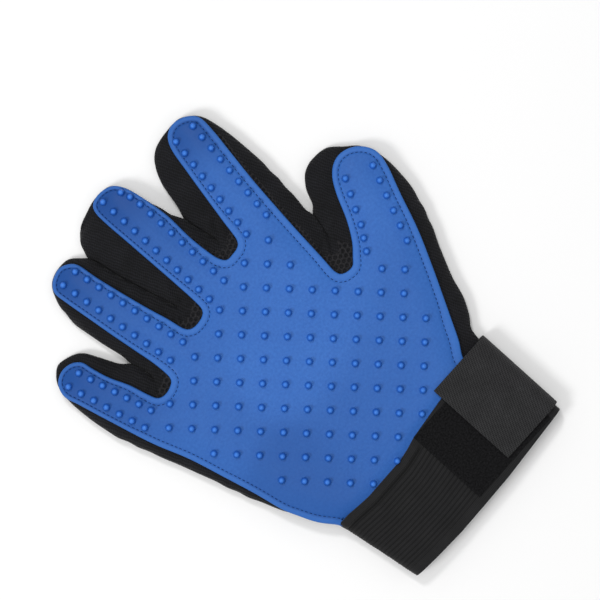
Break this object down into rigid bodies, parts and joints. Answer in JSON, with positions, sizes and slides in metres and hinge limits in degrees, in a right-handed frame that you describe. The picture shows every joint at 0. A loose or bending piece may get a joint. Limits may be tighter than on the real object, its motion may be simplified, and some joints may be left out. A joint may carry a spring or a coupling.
{
  "type": "pet grooming glove",
  "caption": "Right-hand grooming glove with a blue rubber palm and finger pad covered in soft nubs, black fabric back, elastic cuff and hook-and-loop strap.",
  "frame": {"origin": "on the face that the glove rests on, under the middle of the palm, with the back of the hand down", "axes": "+Y from the wrist towards the fingertips, +X towards the thumb, +Z out of the rubber palm"},
  "size_m": [0.1967, 0.2479, 0.0155],
  "materials": {
    "blue_rubber": "satin moulded rubber",
    "black_mesh": "open air mesh",
    "black_knit": "fine twill knit",
    "black_elastic": "ribbed elastic",
    "loop_pile": "fuzzy loop pile",
    "strap_webbing": "fine woven tape backing",
    "hook_tape": "moulded hooks"
  },
  "bodies": {
    "palm": {"palm_pad": "blue_rubber", "palm_base_panel": "black_mesh", "palm_back_panel": "black_mesh", "little_side_strip": "black_knit", "ring_little_crotch": "black_knit", "middle_ring_crotch": "black_knit", "index_middle_crotch": "black_knit", "thumb_web": "black_knit", "thumb_side_strip": "black_knit", "elastic_cuff": "black_elastic", "loop_patch": "loop_pile", "strap_sewn_half": "strap_webbing"},
    "little_finger": {"little_pad": "blue_rubber", "little_base_panel": "black_mesh", "little_back_panel": "black_mesh", "little_side_strip_left": "black_knit", "little_side_strip_right": "black_knit"},
    "ring_finger": {"ring_pad": "blue_rubber", "ring_base_panel": "black_mesh", "ring_back_panel": "black_mesh", "ring_side_strip_left": "black_knit", "ring_side_strip_right": "black_knit"},
    "middle_finger": {"middle_pad": "blue_rubber", "middle_base_panel": "black_mesh", "middle_back_panel": "black_mesh", "middle_side_strip_left": "black_knit", "middle_side_strip_right": "black_knit"},
    "index_finger": {"index_pad": "blue_rubber", "index_base_panel": "black_mesh", "index_back_panel": "black_mesh", "index_side_strip_left": "black_knit", "index_side_strip_right": "black_knit"},
    "thumb": {"thumb_pad": "blue_rubber", "thumb_base_panel": "black_mesh", "thumb_back_panel": "black_mesh", "thumb_side_strip_left": "black_knit", "thumb_side_strip_right": "black_knit"},
    "strap": {"strap_tab": "strap_webbing", "hook_patch": "hook_tape"}
  },
  "joints": [
    {"name": "little_flex", "type": "hinge", "parent": "palm", "child": "little_finger", "pos_m": [-0.0809, 0.0419, 0.0125], "axis": [0.9498, 0.3129, 0], "range_deg": [0, 70], "stiffness_Nm_per_rad": 0.01},
    {"name": "ring_flex", "type": "hinge", "parent": "palm", "child": "ring_finger", "pos_m": [-0.0465, 0.0616, 0.0125], "axis": [0.9939, 0.11, 0], "range_deg": [0, 70], "stiffness_Nm_per_rad": 0.01},
    {"name": "middle_flex", "type": "hinge", "parent": "palm", "child": "middle_finger", "pos_m": [-0.009, 0.067, 0.0125], "axis": [1, 0, 0], "range_deg": [0, 70], "stiffness_Nm_per_rad": 0.01},
    {"name": "index_flex", "type": "hinge", "parent": "palm", "child": "index_finger", "pos_m": [0.032, 0.0672, 0.0125], "axis": [0.9973, -0.074, 0], "range_deg": [0, 70], "stiffness_Nm_per_rad": 0.01},
    {"name": "thumb_flex", "type": "hinge", "parent": "palm", "child": "thumb", "pos_m": [0.074, 0.0185, 0.0125], "axis": [0.8412, -0.5408, 0], "range_deg": [0, 60], "stiffness_Nm_per_rad": 0.01},
    {"name": "strap_peel", "type": "hinge", "parent": "palm", "child": "strap", "pos_m": [0.0579, -0.0898, 0.0143], "axis": [0, 1, 0], "range_deg": [0, 165]}
  ]
}
